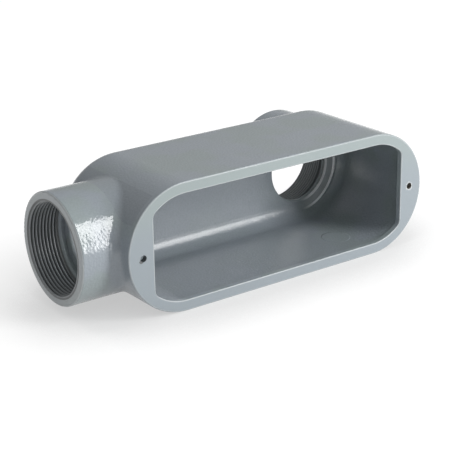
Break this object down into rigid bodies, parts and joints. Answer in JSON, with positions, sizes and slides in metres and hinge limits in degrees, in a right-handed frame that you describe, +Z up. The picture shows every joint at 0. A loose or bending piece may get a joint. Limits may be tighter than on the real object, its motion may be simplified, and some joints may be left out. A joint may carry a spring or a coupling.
{
  "type": "conduit body",
  "caption": "Elbow conduit body with an open cover face, a threaded hub on one end and another on its back, cast in one piece and painted gray.",
  "frame": {"origin": "under the middle of the whole fitting, on the plane that its long flat side lies on", "axes": "+X along the box away from the end hub, +Y out of the back hub with the open cover face towards -Y, +Z up from the flat side it lies on"},
  "size_m": [0.2496, 0.103, 0.08],
  "materials": {
    "gray_enamel": "glossy gray enamel over a casting, flatter on the ground cover face"
  },
  "bodies": {
    "root": {"conduit_body": "gray_enamel"}
  },
  "joints": []
}
